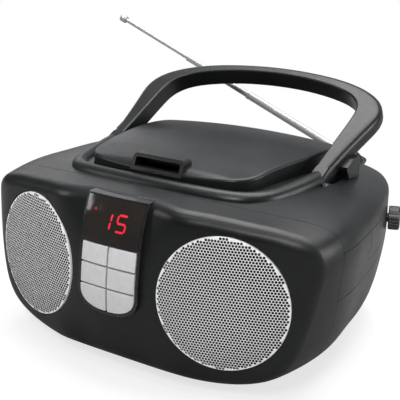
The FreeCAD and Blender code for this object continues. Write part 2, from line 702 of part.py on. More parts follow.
def handle_edge(half):
    curve = Part.BSplineCurve()
    curve.interpolate([handle_point(x, along, 0) for x, along in half]
                      + [handle_point(-x, along, 0) for x, along in reversed(half[:-1])])
    return curve.toShape()


def tilted_box(side, length, height, along, normal):
    """Box square to the handle plane, 60 wide around one arm."""
    block = Part.makeBox(60, length, height, Vector(0, 0, 0))
    block.Placement = FreeCAD.Placement(handle_point(side * 83 - 30, along, normal),
                                        FreeCAD.Rotation(Vector(1, 0, 0), HANDLE_TILT))
    return block


def handle_arch():
    edges = [handle_edge(HANDLE_OUTER), handle_edge(HANDLE_INNER)]
    (x_out, foot), (x_in, _) = HANDLE_OUTER[0], HANDLE_INNER[0]
    for side, _ in SIDES:
        edges.append(Part.LineSegment(handle_point(side * x_out, foot, 0),
                                      handle_point(side * x_in, foot, 0)).toShape())
    arch = Part.Face(Part.Wire(Part.__sortEdges__(edges))).extrude(
        handle_point(0, 0, -HANDLE_T) - handle_point(0, 0, 0))
    arch = try_fillet(arch, 4.6, lambda e: e.Length > 300 and e.BoundBox.XLength > 190)
    return try_fillet(arch, 1.2, lambda e: e.Length > 250 and e.BoundBox.XLength < 170)


def handle():
    shape = handle_arch()
    lifted = outer.copy()
    lifted.translate(Vector(0, 0, 0.45))
    for side, _ in SIDES:
        # root disc, trimmed above the upper plane of the arm
        root = side_cyl_x(side, ROOT_R, 79.1, 87.4, PIVOT_Y, PIVOT_Z)
        root = root.cut(tilted_box(side, 120, 60, -60, 0))
        # the foot end of the arm stays inside the root radius
        limit = side_cyl_x(side, ROOT_R, 69.1, 97.4, PIVOT_Y, PIVOT_Z)
        shape = shape.cut(tilted_box(side, 22, 50, -22, -25).cut(limit))
        shape = shape.fuse(try_fillet(root, 1.0, lambda e: e.Length > 30))
        # lug under the arm, clear of the cabinet top and the pocket
        lug = side_box(side, 84.5, 95.0, 132.0, 151.0, 92.0, 112.0)
        lug = lug.cut(tilted_box(side, 120, 60, -30, -HANDLE_T + 6.0)).cut(lifted)
        shape = shape.fuse(lug.cut(side_cyl_x(side, 14.5, 64.5, 115.0, PIVOT_Y, PIVOT_Z)))
        shape = shape.cut(side_cyl_x(side, HANDLE_PIN_R + 0.06, 60, 100, PIVOT_Y, PIVOT_Z))
    return largest_solid(shape)


export("handle", handle())
export("handle_pins", both_sides(cyl_x(HANDLE_PIN_R, 76.1, 92.9, PIVOT_Y, PIVOT_Z)))

# ---------------------------------------------------------------- antenna
ANTENNA_ANGLE = math.radians(22.454)   # rises towards the left
ANTENNA_DIR = Vector(-math.cos(ANTENNA_ANGLE), 0, math.sin(ANTENNA_ANGLE))
ANTENNA_NORMAL = Vector(math.sin(ANTENNA_ANGLE), 0, math.cos(ANTENNA_ANGLE))
# distance of the section ends from the pivot
SECTION_1_END, SECTION_2_END, SECTION_3_END = 105.0, 166.8, 236.9
SECTION_L = 92             # length of section 2; section 3 starts as far before its end


def antenna_point(along, across=0.0):
    return (Vector(ANTENNA_X, ANTENNA_Y, ANTENNA_Z)
            + ANTENNA_DIR * along + ANTENNA_NORMAL * across)


def rod(r, start, end):
    """Cylinder along the antenna."""
    return cylinder(r, antenna_point(start), antenna_point(end))


def cross_pin(r, start, end):
    """Cylinder across the antenna through its pivot."""
    return cylinder(r, antenna_point(0, start), antenna_point(0, end))


def antenna_box(along0, along1, y0, y1, across0, across1):
    block = Part.makeBox(along1 - along0, across1 - across0, y1 - y0)
    origin = antenna_point(along0, across0)
    origin.y = y0
    return in_frame(block, ANTENNA_DIR, ANTENNA_NORMAL, Vector(0, 1, 0), origin)


def antenna_mount():
    """Round base with a stub into the cabinet and a two-cheek fork."""
    cheeks = ((1.75, 4.4), (-4.4, -1.75))
    mount = cyl_y(6.2, 207.8, 213.0, ANTENNA_X, ANTENNA_Z)
    mount = mount.fuse(cyl_y(3.0, 196.5, 207.9, ANTENNA_X, ANTENNA_Z))
    for start, end in cheeks:
        mount = mount.fuse(antenna_box(-4.2, 4.2, 212.5, ANTENNA_Y, start, end))
    for start, end in cheeks[:1] + ((-4.4, -1.75),):
        mount = mount.fuse(cross_pin(4.2, start, end))
    return largest_solid(mount.cut(cross_pin(1.05, -6, 6)))


def antenna_section_1():
    """Tube with a flat pivot end and a collar at the open end."""
    end = SECTION_1_END
    tube = rod(3.0, 8.5, end).cut(rod(2.5, 12.0, end + 1))
    tube = tube.fuse(cross_pin(3.3, -1.65, 1.65))
    tube = tube.fuse(antenna_box(0, 9.0, ANTENNA_Y - 2.9, ANTENNA_Y + 2.9, -1.65, 1.65))
    tube = tube.cut(cross_pin(1.05, -3, 3))
    return largest_solid(tube.fuse(rod(3.15, end - 2.0, end).cut(rod(2.5, end - 3, end + 1))))


export("antenna_mount", antenna_mount())
export("antenna_pin", cross_pin(1.0, -4.5, 4.5))
export("antenna_section_1", antenna_section_1())
export("antenna_section_2", largest_solid(
    rod(2.45, SECTION_2_END - SECTION_L, SECTION_2_END)
    .cut(rod(1.6, SECTION_2_END - SECTION_L + 2, SECTION_2_END + 1))))
export("antenna_section_3", rod(1.55, SECTION_3_END - SECTION_L, SECTION_3_END - 3.0))
export("antenna_tip", try_fillet(rod(2.3, SECTION_3_END - 3.0, SECTION_3_END + 1.0), 1.0,
                                 lambda e: True))

# ---------------------------------------------------------------- disc drive
ROD_X, ROD_Z = 19.5, 87.5              # guide rods
LEAD_X, LEAD_Z = -25.2, 87.3           # lead screw
PICKUP_Y = 80.0


def lead_cyl(r, y0, y1):
    return cyl_y(r, y0, y1, LEAD_X, LEAD_Z)


def drive_chassis():
    """Plate with uprights for the guide rods and a bracket for the lead screw."""
    plate = box(-38, 38, 50.5, 146, 82.0, 84.0)
    plate = plate.cut(cyl_z(3.0, 80, 90, *DISC)).cut(box(-14.0, 14.0, 62.0, 104.0, 81, 86))
    for side, _ in SIDES:
        for y in (52.0, 107.0):
            plate = plate.fuse(side_box(side, 17.0, 22.0, y, y + 3.0, 83.9, 90.0))
        plate = plate.cut(cyl_y(1.52, 50, 112, side * ROD_X, ROD_Z))
    plate = plate.fuse(box(-28.2, -22.4, 54.2, 57.6, 83.9, 89.8)).cut(lead_cyl(0.95, 50, 60))
    for x, y in DAMPERS:
        plate = plate.cut(cyl_z(3.05, 80, 90, x, y))
    return largest_solid(plate)


def damper(x, y):
    """Sleeve through the chassis with a collar above and below."""
    sleeve = cyl_z(3.0, 81.0, 85.5, x, y).fuse(cyl_z(4.6, 84.1, 86.5, x, y))
    return sleeve.fuse(cyl_z(4.6, 80.0, 81.9, x, y)).cut(cyl_z(1.6, 70, 95, x, y))


def disc_hub():
    """Turntable, centring cone, shaft and three balls."""
    hub = cyl_z(15.0, 95.2, 98.0, *DISC).fuse(cyl_z(7.3, 97.5, 100.6, *DISC))
    hub = hub.fuse(Part.makeCone(7.3, 4.8, 1.6, Vector(*DISC, 100.6)))
    hub = hub.fuse(cyl_z(3.2, 90.0, 95.4, *DISC)).fuse(cyl_z(1.0, 74.0, 91.0, *DISC))
    for i in range(3):
        a = math.radians(120 * i + 30)
        hub = hub.fuse(Part.makeSphere(1.3, Vector(
            DISC[0] + 6.5 * math.cos(a), DISC[1] + 6.5 * math.sin(a), 99.7)))
    return hub


def pickup_sled():
    y = PICKUP_Y
    sled = box(-13.0, 13.0, y - 9, y + 9, 84.3, 91.2)
    sled = sled.fuse(box(-22.6, 22.6, y - 5, y + 5, 85.2, 90.2))
    sled = sled.fuse(cyl_z(6.0, 91.0, 94.0, 0, y))
    for side, _ in SIDES:
        sled = sled.cut(cyl_y(1.56, y - 12, y + 12, side * ROD_X, ROD_Z))
    sled = sled.cut(cyl_z(3.6, 92.6, 96, 0, y))
    # half nut that straddles the lead screw
    sled = sled.fuse(box(-29.0, -22.0, y - 2, y + 2, 89.6, 91.2))
    return largest_solid(sled.fuse(box(-29.0, -27.9, y - 2, y + 2, 86.0, 91.2)))


export("drive_chassis", drive_chassis())
export("drive_dampers", Part.makeCompound([damper(x, y) for x, y in DAMPERS]))
small_screws += [cyl_z(2.0, 78.4, 79.9, x, y).fuse(cyl_z(0.8, 79.8, 88.0, x, y))
                 for x, y in DAMPERS]
export("spindle_motor", cyl_z(12.0, 71.0, 81.9, *DISC).fuse(cyl_z(2.9, 81.5, 84.6, *DISC))
       .cut(cyl_z(1.05, 73.0, 90, *DISC)))
export("disc_hub", disc_hub())
export("pickup_sled", pickup_sled())
export("pickup_lens", cyl_z(3.0, 92.7, 94.6, 0, PICKUP_Y).fuse(
    Part.makeSphere(3.0, Vector(0, PICKUP_Y, 93.4)).common(cyl_z(3.0, 94.5, 96.5, 0, PICKUP_Y))))
export("guide_rods", both_sides(cyl_y(1.5, 52.1, 110.4, ROD_X, ROD_Z)))
export("lead_screw", lead_cyl(1.6, 60.0, 108.0).fuse(lead_cyl(0.9, 56.5, 112.0)))
export("sled_motor", box(-31.5, -19.0, 111.0, 126.0, 84.1, 91.6).cut(lead_cyl(0.95, 110, 114)))

# ---------------------------------------------------------------- side controls
KNOB_CENTRE = (113.6, 158.0, 70.5)     # on the right side wall
KNOB_YAW = math.atan(0.36)             # the knob axis turns from X towards the rear


def at_side_wall(shape, side):
    """Place a shape drawn along +Z so that it points out of the side wall."""
    x, y, z = KNOB_CENTRE
    turn = FreeCAD.Rotation(Vector(0, 0, 1),
                            Vector(math.cos(KNOB_YAW) * side, math.sin(KNOB_YAW), 0))
    placed = shape.copy()
    placed.Placement = FreeCAD.Placement(Vector(x * side, y, z), turn)
    return placed


def knob():
    """Fluted knob with a shaft."""
    shape = revolve([(0, 1.0), (7.6, 1.0), (8.0, 1.6), (8.0, 7.4), (7.2, 8.4), (6.0, 8.6),
                     (5.2, 8.1), (0, 8.1)])
    for i in range(24):
        a = math.radians(15 * i)
        shape = shape.cut(cyl_z(0.55, 1.6, 9.5, 8.25 * math.cos(a), 8.25 * math.sin(a)))
    return shape.fuse(cyl_z(3.0, -11.0, 1.2, 0, 0))


for side, tag in SIDES:
    plate = largest_solid(rear.common(side_box(side, 90, 140, 105.0, 176.0, 60.6, 90.0)))
    rear = largest_solid(rear.cut(side_box(side, 90, 140, 104.6, 176.4, 60.2, 90.0)))
    plate = plate.cut(at_side_wall(cyl_z(3.06, -20, 20, 0, 0), side))
    if side < 0:
        # slot of the function switch
        plate = plate.cut(side_box(side, 90, 140, 116.0, 132.0, 68.6, 73.4))
    export("side_plate_" + tag, plate)

export("function_switch", box(-126.6, -117.0, 121.0, 127.0, 68.9, 73.1)
       .fuse(box(-118.2, -116.8, 118.6, 129.4, 67.0, 75.0)))
export("tuning_knob", at_side_wall(knob(), 1))
export("volume_knob", at_side_wall(knob(), -1))
shaft_can = revolve([(3.05, -4.0), (5.5, -4.0), (5.5, -5.5), (9.0, -5.5), (9.0, -13.0),
                     (0, -13.0), (0, -11.6), (3.05, -11.6)])
export("tuning_capacitor", at_side_wall(shaft_can, 1))
export("left_controls", Part.makeCompound([
    at_side_wall(shaft_can, -1), box(-116.4, -110.5, 113.0, 135.0, 65.0, 77.0)]))

# ---------------------------------------------------------------- power parts
MAIN_BOARD_Z = 40.0        # underside of the main board
MAIN_BOARD_TOP = MAIN_BOARD_Z + BOARD_T
MAIN_SCREWS = [(-64, 100), (64, 100), (-64, 146), (64, 146)]


def mains_inlet():
    inlet = box(-38, -12, 190.0, 207.2, 57.0, 71.0)
    inlet = inlet.cut(box(-34, -16, 195.0, 210, 60.0, 68.0))
    for x in (-28.5, -21.5):
        inlet = inlet.fuse(cyl_y(1.2, 194.5, 204.5, x, 64.0))
    return inlet


def main_board():
    board = box(-70, 70, 96.0, 150.0, MAIN_BOARD_Z, MAIN_BOARD_TOP)
    for x, y in MAIN_SCREWS:
        board = board.cut(cyl_z(1.3, 30, 50, x, y))
    return board


def board_components():
    z = MAIN_BOARD_TOP + 0.1
    return Part.makeCompound([
        box(-20, 0, 110, 124, z, 44.5), box(18, 34, 120, 132, z, 44.5),
        cyl_z(6, z, 60, -50, 130), cyl_z(6, z, 60, -36, 138), cyl_z(4, z, 53, 50, 110),
        box(40, 62, 134, 137, z, 62)])


export("mains_inlet", mains_inlet())
export("rear_cabinet", largest_solid(rear.cut(box(-38.1, -11.9, 195, 215, 56.9, 71.1))))
export("transformer_core", box(-36, 8, 160.0, 186.0, 24.0, 60.0)
       .cut(box(-30, 2, 150, 190, 30, 54)).fuse(box(-19, -9, 160.0, 186.0, 30, 54)))
export("transformer_winding", box(-28.8, 0.8, 155.0, 191.0, 31.0, 53.0)
       .cut(box(-19.05, -8.95, 150, 200, 29, 55)))
export("main_board", main_board())
export("board_components", board_components())
small_screws += [cyl_z(2.0, 41.7, 43.2, x, y).fuse(cyl_z(0.8, 33.6, 41.8, x, y))
                 for x, y in MAIN_SCREWS]
export("small_screws", Part.makeCompound(small_screws))

# ---------------------------------------------------------------- bottom cabinet
FOOT_H = 2.5
FOOT_R = 6.0
FEET = [(38, 52), (-38, 52), (34, 185), (-34, 185)]


def door_block(gap):
    """Block that fills the battery opening, smaller all round by gap."""
    return box(-75.0 + gap, 75.0 - gap, 98.0 + gap, 152.0 - gap, -30, 2)


def add_bottom_posts(bottom):
    """Posts for the case screws, then for the main board."""
    for x, y in CASE_POSTS:
        bottom = bottom.fuse(cyl_z(4.5, FLOOR + 1.5, 30.0, x, y))
        bottom = bottom.cut(cyl_z(1.75, -20, 40, x, y)).cut(cyl_z(3.7, -20, 14.5, x, y))
    for x, y in MAIN_SCREWS:
        bottom = bottom.fuse(cyl_z(3.0, 20.5, MAIN_BOARD_Z - 0.1, x, y))
        bottom = bottom.cut(cyl_z(0.85, 30, 45, x, y))
    return bottom


def battery_door(bottom):
    """Door cut from the floor, with a row of nine grooves near its rear edge."""
    door = largest_solid(bottom.common(door_block(0.3)))
    for i in range(9):
        x = -24 + 6 * i
        door = door.cut(box(x - 0.8, x + 0.8, 142.0, 149.0, FLOOR - 1.0, FLOOR + 1.1))
    return largest_solid(door)


def bottom_cabinet(bottom):
    """Add the battery bay, two transformer rests and the foot recesses."""
    bay = box(-80, 80, 93.5, 156.5, FLOOR, 21.5).common(outer)
    bottom = bottom.fuse(bay.cut(box(-77.5, 77.5, 96.0, 154.0, -20, 19.0)))
    bottom = bottom.cut(door_block(0))
    for x in (-34, 0):
        bottom = bottom.fuse(box(x, x + 6, 162, 184, FLOOR + 1.5, 23.9))
    bottom = largest_solid(bottom)
    for x, y in FEET:
        bottom = bottom.cut(cyl_z(FOOT_R + 0.02, FLOOR - 1, FLOOR + 0.4, x, y))
        bottom = bottom.fuse(cyl_z(7.5, FLOOR + 0.5, FLOOR + 3.4, x, y).common(outer))
    return largest_solid(bottom)


def battery_spring(y):
    """Coil along X at the left end of the bay."""
    wire = Part.Circle(Vector(6.0, 0, 0), Vector(0, 1, 0), 0.45)
    helix = Part.makeHelix(2.4, 9.6, 6.0)      # pitch, height, radius
    spring = Part.Wire(helix).makePipeShell([Part.Wire([wire.toShape()])], True, True)
    spring.Placement = FreeCAD.Placement(
        Vector(-76.0, y, 5.0), FreeCAD.Rotation(Vector(0, 0, 1), Vector(1, 0, 0)))
    return spring


def foot(x, y):
    return try_fillet(cyl_z(FOOT_R, FLOOR - FOOT_H, FLOOR + 0.4, x, y), 0.8,
                      lambda e: e.BoundBox.ZMax < FLOOR - FOOT_H + 0.1)


bottom = add_bottom_posts(bottom)
export("battery_door", battery_door(bottom))
export("bottom_cabinet", bottom_cabinet(bottom))
export("battery_contacts", Part.makeCompound([
    box(-77.4, -76.6, 101, 149, -1.4, 14), box(76.6, 77.4, 101, 149, -1.4, 14),
    battery_spring(110.5), mirror(battery_spring(139.5))]))
export("feet", Part.makeCompound([foot(x, y) for x, y in FEET]))
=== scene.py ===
# A portable radio and disc player with a speaker at each side, silver keys, a lit display
# and a telescopic antenna. Metres, +Z up: the front faces -Y, the right speaker is at +X,
# the floor is z = 0 and the antenna rises towards -X.
import bpy
import bmesh
import math
from mathutils import Matrix, Vector
from mathutils.geometry import delaunay_2d_cdt


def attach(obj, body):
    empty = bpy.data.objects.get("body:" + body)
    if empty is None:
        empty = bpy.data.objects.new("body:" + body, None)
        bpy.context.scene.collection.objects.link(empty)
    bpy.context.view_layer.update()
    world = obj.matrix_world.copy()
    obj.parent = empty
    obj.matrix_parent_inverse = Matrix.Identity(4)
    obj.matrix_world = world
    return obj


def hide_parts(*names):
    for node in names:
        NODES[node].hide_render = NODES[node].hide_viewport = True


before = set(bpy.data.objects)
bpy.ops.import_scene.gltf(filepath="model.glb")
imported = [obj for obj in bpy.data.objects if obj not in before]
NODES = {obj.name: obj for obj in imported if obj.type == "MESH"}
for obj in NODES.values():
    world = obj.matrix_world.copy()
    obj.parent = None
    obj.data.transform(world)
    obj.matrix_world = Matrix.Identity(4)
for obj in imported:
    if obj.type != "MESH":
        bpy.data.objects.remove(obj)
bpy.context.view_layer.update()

MM = 1000.0  # millimetres in a metre
ANTENNA_TILT = math.radians(22.454)  # above the horizontal

# ------------------------------------------------------------------ node trees
# Short names for the inputs of the principled shader.
SURFACE_INPUTS = {
    "color": "Base Color", "rough": "Roughness", "metal": "Metallic",
    "spec": "Specular IOR Level", "coat": "Coat Weight", "coat_rough": "Coat Roughness",
    "sheen": "Sheen Weight", "ior": "IOR", "emit": "Emission Color",
    "emit_power": "Emission Strength", "normal": "Normal",
}


class Net:
    """Builds the node tree of a material or world. Values may be sockets or constants."""

    def __init__(self, owner, output):
        owner.use_nodes = True
        self.owner = owner
        self.tree = owner.node_tree
        self.tree.nodes.clear()
        self.out = self.node(output)
        self.coords = self.node("ShaderNodeTexCoord").outputs

    def node(self, kind, inputs=None, **settings):
        made = self.tree.nodes.new(kind)
        for key, value in settings.items():
            setattr(made, key, value)
        for key, value in (inputs or {}).items():
            self.put(made.inputs[key], value)
        return made

    def put(self, socket, value):
        if isinstance(value, bpy.types.NodeSocket):
            self.tree.links.new(value, socket)
        elif isinstance(value, tuple) and len(value) == 3 and socket.type == "RGBA":
            socket.default_value = (*value, 1)
        else:
            socket.default_value = value

    def math(self, operation, a, b=0.0, clamp=False):
        return self.node("ShaderNodeMath", {0: a, 1: b}, operation=operation,
                         use_clamp=clamp).outputs[0]

    def plus(self, a, b, clamp=False):
        return self.math("ADD", a, b, clamp)

    def times(self, value, by, clamp=False):
        return self.math("MULTIPLY", value, by, clamp)

    def centred(self, noise):
        """Noise about 0 instead of 0.5."""
        return self.math("SUBTRACT", noise, 0.5)

    def ramp(self, value, span, to=(0.0, 1.0)):
        """Smooth step that maps the span to the range `to`."""
        return self.node("ShaderNodeMapRange", {
            "Value": value, "From Min": span[0], "From Max": span[1],
            "To Min": to[0], "To Max": to[1]}, interpolation_type="SMOOTHSTEP").outputs[0]

    def noise(self, scale, detail=3.0, rough=0.5, coords=None, distortion=0.0):
        return self.node("ShaderNodeTexNoise", {
            "Vector": self.coords["Object"] if coords is None else coords,
            "Scale": scale, "Detail": detail, "Roughness": rough,
            "Distortion": distortion}).outputs["Fac"]

    def cells(self, scale, randomness=1.0):
        return self.node("ShaderNodeTexVoronoi", {
            "Vector": self.coords["Object"], "Scale": scale,
            "Randomness": randomness}).outputs["Distance"]

    def bands(self, direction, profile, scale, distortion):
        return self.node("ShaderNodeTexWave", {
            "Vector": self.coords["Object"], "Scale": scale, "Distortion": distortion},
            wave_type="BANDS", bands_direction=direction, wave_profile=profile).outputs["Fac"]

    def stretch(self, scale, turn=(0, 0, 0)):
        return self.node("ShaderNodeMapping", {
            "Vector": self.coords["Object"], "Scale": scale, "Rotation": turn}).outputs[0]

    def facing(self, blend):
        return self.node("ShaderNodeLayerWeight", {"Blend": blend}).outputs["Facing"]

    def camera_ray(self):
        return self.node("ShaderNodeLightPath").outputs["Is Camera Ray"]

    def mix(self, by, low, high):
        """Mix of two colors."""
        return self.node("ShaderNodeMix", {0: by, 6: low, 7: high},
                         data_type="RGBA").outputs[2]

    def blend(self, by, low, high):
        """Mix of two numbers."""
        return self.node("ShaderNodeMix", {0: by, 2: low, 3: high},
                         data_type="FLOAT").outputs[0]

    def dot(self, a, b):
        return self.node("ShaderNodeVectorMath", {0: a, 1: b},
                         operation="DOT_PRODUCT").outputs["Value"]

    def edge(self, radius):
        """1 along sharp edges, 0 on flat ground."""
        rounded = self.node("ShaderNodeBevel", {"Radius": radius}, samples=4).outputs[0]
        true = self.node("ShaderNodeNewGeometry").outputs["Normal"]
        return self.ramp(self.dot(rounded, true), span=(0.995, 0.86))

    def bump(self, height, depth, strength=1.0, normal=None):
        inputs = {"Height": height, "Distance": depth, "Strength": strength}
        if normal is not None:
            inputs["Normal"] = normal
        return self.node("ShaderNodeBump", inputs).outputs[0]

    def surface(self, **values):
        values = {"coat_rough": 0.1, **values}
        shader = self.node("ShaderNodeBsdfPrincipled", {
            SURFACE_INPUTS[key]: value for key, value in values.items()})
        return self.finish(shader)

    def mix_shaders(self, by, low, high):
        return self.finish(self.node("ShaderNodeMixShader", {
            0: by, 1: low.outputs[0], 2: high.outputs[0]}))

    def finish(self, shader):
        self.put(self.out.inputs["Surface"], shader.outputs[0])
        return self.owner


def material_net(name):
    return Net(bpy.data.materials.new(name), "ShaderNodeOutputMaterial")


def shade(color, factor, lift=0.0):
    """The color scaled, lifted and held to 1."""
    return tuple(min(1.0, part * factor + lift) for part in color)


# ------------------------------------------------------------------ materials
def moulded(name, color, rough, grain, depth, wear, spec=0.45, vary=0.16,
            wear_color=(0.16, 0.16, 0.17)):
    """Spark-textured moulding: fine pits, flow clouding, handling shine and rubbed edges."""
    net = material_net(name)
    cloud = net.noise(scale=16.0, detail=4.0, rough=0.55)
    mottle = net.noise(scale=260.0, rough=0.6)
    pits = net.cells(scale=grain)
    fine = net.noise(scale=grain * 1.7, detail=2.0, rough=0.6)
    tone = net.mix(net.ramp(cloud, span=(0.3, 0.7)),
                   low=shade(color, 1 - vary), high=shade(color, 1 + vary, lift=0.002))
    tone = net.mix(net.ramp(mottle, span=(0.35, 0.75), to=(0.0, 0.25)),
                   tone, shade(color, factor=0.7))
    edge = net.edge(radius=0.0007)
    scuff = net.noise(scale=420.0, detail=4.0, rough=0.7)
    worn = net.times(net.times(edge, net.ramp(scuff, span=(0.38, 0.62))), by=wear)
    tone = net.mix(worn, tone, wear_color)
    # hairline scratches, sparse and long
    streaks = net.noise(scale=90.0, detail=2.0,
                        coords=net.stretch(scale=(14.0, 1.0, 14.0), turn=(0.3, 0.2, 0.5)))
    hair = net.ramp(net.math("ABSOLUTE", net.centred(streaks)),
                    span=(0.004, 0.0), to=(0.0, 0.10))
    shine = net.plus(net.blend(net.ramp(cloud, span=(0.35, 0.7)),
                               low=rough - 0.04, high=rough + 0.05),
                     net.times(net.centred(mottle), by=0.12))
    shine = net.math("SUBTRACT", shine, net.times(worn, by=0.12), clamp=True)
    shine = net.plus(shine, hair, clamp=True)
    relief = net.plus(net.times(pits, by=0.7), net.times(fine, by=0.5))
    normal = net.bump(relief, depth)
    normal = net.bump(net.noise(scale=30.0, detail=2.0), depth=0.00010, strength=0.35,
                      normal=normal)
    return net.surface(color=tone, rough=shine, normal=normal, spec=spec, coat_rough=0.25)


def painted(name, color, metal, rough):
    """Silver paint over pressed steel."""
    net = material_net(name)
    flake = net.cells(scale=5200.0)
    cloud = net.noise(scale=22.0)
    mottle = net.noise(scale=700.0, rough=0.6)
    tone = net.mix(net.ramp(cloud, span=(0.3, 0.7)),
                   low=shade(color, factor=0.95), high=shade(color, factor=1.05))
    tone = net.mix(net.ramp(flake, span=(0.1, 0.5), to=(0.0, 0.18)),
                   tone, shade(color, factor=1.25))
    tone = net.mix(net.ramp(mottle, span=(0.45, 0.8), to=(0.0, 0.22)),
                   tone, shade(color, factor=0.72))
    # Edges mixed a little towards grey: painted shade along the hole rims.
    edge = net.edge(radius=0.00025)
    tone = net.mix(net.times(edge, by=0.3), low=tone, high=(0.80, 0.80, 0.80))
    shine = net.plus(net.blend(cloud, low=rough - 0.05, high=rough + 0.06),
                     net.times(mottle, by=0.06))
    relief = net.plus(mottle, net.times(flake, by=0.5))
    return net.surface(color=tone, rough=shine, metal=metal,
                       normal=net.bump(relief, depth=0.000012))


def bare_metal(name, color, rough):
    """Metal with a fine grain and a little tarnish."""
    net = material_net(name)
    lines = net.noise(scale=2400.0, detail=4.0, rough=0.65,
                      coords=net.stretch(scale=(1.0, 1.0, 1.0)))
    blot = net.noise(scale=75.0, detail=5.0, rough=0.6)
    tarnish, bright = (0.35, 0.33, 0.30), (0.95, 0.95, 0.96)
    tone = net.mix(net.ramp(blot, span=(0.52, 0.78), to=(0.0, 0.35)), color, tarnish)
    tone = net.mix(net.times(net.centred(lines), by=0.3, clamp=True), tone, bright)
    shine = net.plus(net.blend(lines, low=rough - 0.025, high=rough + 0.06),
                     net.ramp(blot, span=(0.5, 0.8), to=(0.0, 0.14)), clamp=True)
    return net.surface(color=tone, rough=shine, metal=1.0,
                       normal=net.bump(lines, depth=0.000006, strength=0.5))


def chrome():
    """Plated tube: faint drawing marks, finger marks and pin pricks."""
    net = material_net("antenna_chrome")
    rings = net.noise(scale=900.0, rough=0.6,
                      coords=net.stretch(scale=(1.0, 0.05, 0.05), turn=(0, ANTENNA_TILT, 0)))
    smear = net.noise(scale=140.0, detail=4.0, rough=0.6)
    prick = net.cells(scale=1900.0)
    tone = net.mix(net.ramp(smear, span=(0.5, 0.8), to=(0.0, 0.14)),
                   low=(0.45, 0.453, 0.458), high=(0.38, 0.38, 0.385))
    tone = net.mix(net.ramp(prick, span=(0.05, 0.02), to=(0.0, 0.15)),
                   low=tone, high=(0.40, 0.38, 0.36))
    shine = net.plus(net.blend(rings, low=0.17, high=0.20),
                     net.ramp(smear, span=(0.5, 0.75), to=(0.0, 0.05)))
    return net.surface(color=tone, rough=shine, metal=0.30, spec=0.35,
                       normal=net.bump(rings, depth=0.0000005, strength=0.3))


def laminate():
    """Circuit board: solder mask over tracks with tinned pads."""
    net = material_net("board_green")
    mask, tin = (0.022, 0.10, 0.045), (0.62, 0.60, 0.52)
    track = net.node("ShaderNodeTexBrick", {
        "Vector": net.coords["Object"], "Scale": 210.0, "Mortar Size": 0.09,
        "Color1": (0, 0, 0), "Color2": (0.5, 0.5, 0.5), "Mortar": (1, 1, 1)}).outputs["Color"]
    pad = net.ramp(net.cells(scale=290.0, randomness=0.4), span=(0.26, 0.18))
    weave = net.noise(scale=1500.0, detail=2.0, coords=net.stretch(scale=(1.0, 5.0, 1.0)))
    tone = net.mix(track, mask, shade(mask, factor=1.8))
    tone = net.mix(net.ramp(weave, span=(0.3, 0.7), to=(0.0, 0.3)),
                   tone, shade(mask, factor=0.6))
    tone = net.mix(pad, tone, tin)
    shine = net.blend(pad, low=net.blend(weave, low=0.32, high=0.46), high=0.28)
    return net.surface(color=tone, rough=shine, metal=net.times(pad, by=0.9),
                       normal=net.bump(net.plus(track, pad), depth=0.00004))


def rubber():
    """Black rubber with pale dust and rubbed edges."""
    net = material_net("rubber_black")
    grain = net.noise(scale=900.0, detail=4.0, rough=0.7)
    dust = net.noise(scale=60.0, detail=5.0, rough=0.6)
    tone = net.mix(net.ramp(dust, span=(0.45, 0.8), to=(0.0, 0.35)),
                   low=(0.022, 0.022, 0.023), high=(0.11, 0.105, 0.10))
    tone = net.mix(net.times(net.edge(radius=0.0008), by=0.35),
                   low=tone, high=(0.12, 0.12, 0.12))
    return net.surface(color=tone, rough=net.blend(grain, low=0.72, high=0.92),
                       normal=net.bump(grain, depth=0.00005), spec=0.3, sheen=0.05)


def paper():
    """Black fibrous cone paper."""
    net = material_net("cone_paper")
    fibre = net.noise(scale=1300.0, detail=5.0, rough=0.75, distortion=1.2)
    cloud = net.noise(scale=70.0)
    tone = net.mix(net.ramp(fibre, span=(0.3, 0.7)),
                   low=(0.004, 0.004, 0.0045), high=(0.016, 0.016, 0.017))
    tone = net.mix(net.ramp(cloud, span=(0.4, 0.8), to=(0.0, 0.3)),
                   low=tone, high=(0.022, 0.021, 0.020))
    return net.surface(color=tone, rough=net.blend(fibre, low=0.75, high=0.95),
                       normal=net.bump(fibre, depth=0.00008), spec=0.25)


def smoked():
    """Dark tinted window: polished face, faint finger marks and specks of dust."""
    net = material_net("window_smoke")
    smear = net.noise(scale=110.0, detail=4.0, rough=0.65, distortion=0.6)
    dust = net.cells(scale=1500.0)
    tint = net.noise(scale=40.0, detail=2.0)
    polish = 0.07  # roughness of the clean face
    tone = net.mix(tint, low=(0.018, 0.0155, 0.014), high=(0.030, 0.026, 0.023))
    tone = net.mix(net.ramp(dust, span=(0.05, 0.02), to=(0.0, 0.5)),
                   low=tone, high=(0.25, 0.24, 0.23))
    shine = net.plus(polish, net.ramp(smear, span=(0.45, 0.75), to=(0.0, 0.16)))
    return net.surface(color=tone, rough=shine, coat=0.6, coat_rough=0.04,
                       normal=net.bump(smear, depth=0.00003, strength=0.25))


def lit(name, color, power):
    """Glowing diffuser, uneven and slightly grainy."""
    net = material_net(name)
    grain = net.noise(scale=2600.0, detail=2.0)
    facing = net.facing(blend=0.25)
    hot = net.ramp(net.noise(scale=420.0, detail=1.0), span=(0.25, 0.75), to=(0.80, 1.12))
    glow = net.times(hot, net.ramp(grain, span=(0.2, 0.8), to=(0.9, 1.1)))
    glow = net.times(glow, by=power)
    glow = net.times(glow, net.ramp(facing, span=(0.0, 1.0), to=(1.0, 0.6)))
    return net.surface(color=shade(color, factor=0.3), emit=color, emit_power=glow,
                       rough=net.blend(grain, low=0.3, high=0.42),
                       normal=net.bump(grain, depth=0.00001))


def ferrite():
    net = material_net("magnet_ferrite")
    grain = net.noise(scale=700.0, detail=5.0, rough=0.7)
    return net.surface(
        color=net.mix(grain, low=(0.03, 0.03, 0.032), high=(0.09, 0.088, 0.085)),
        rough=net.blend(grain, low=0.45, high=0.7), metal=0.2, spec=0.4,
        normal=net.bump(grain, depth=0.00005))


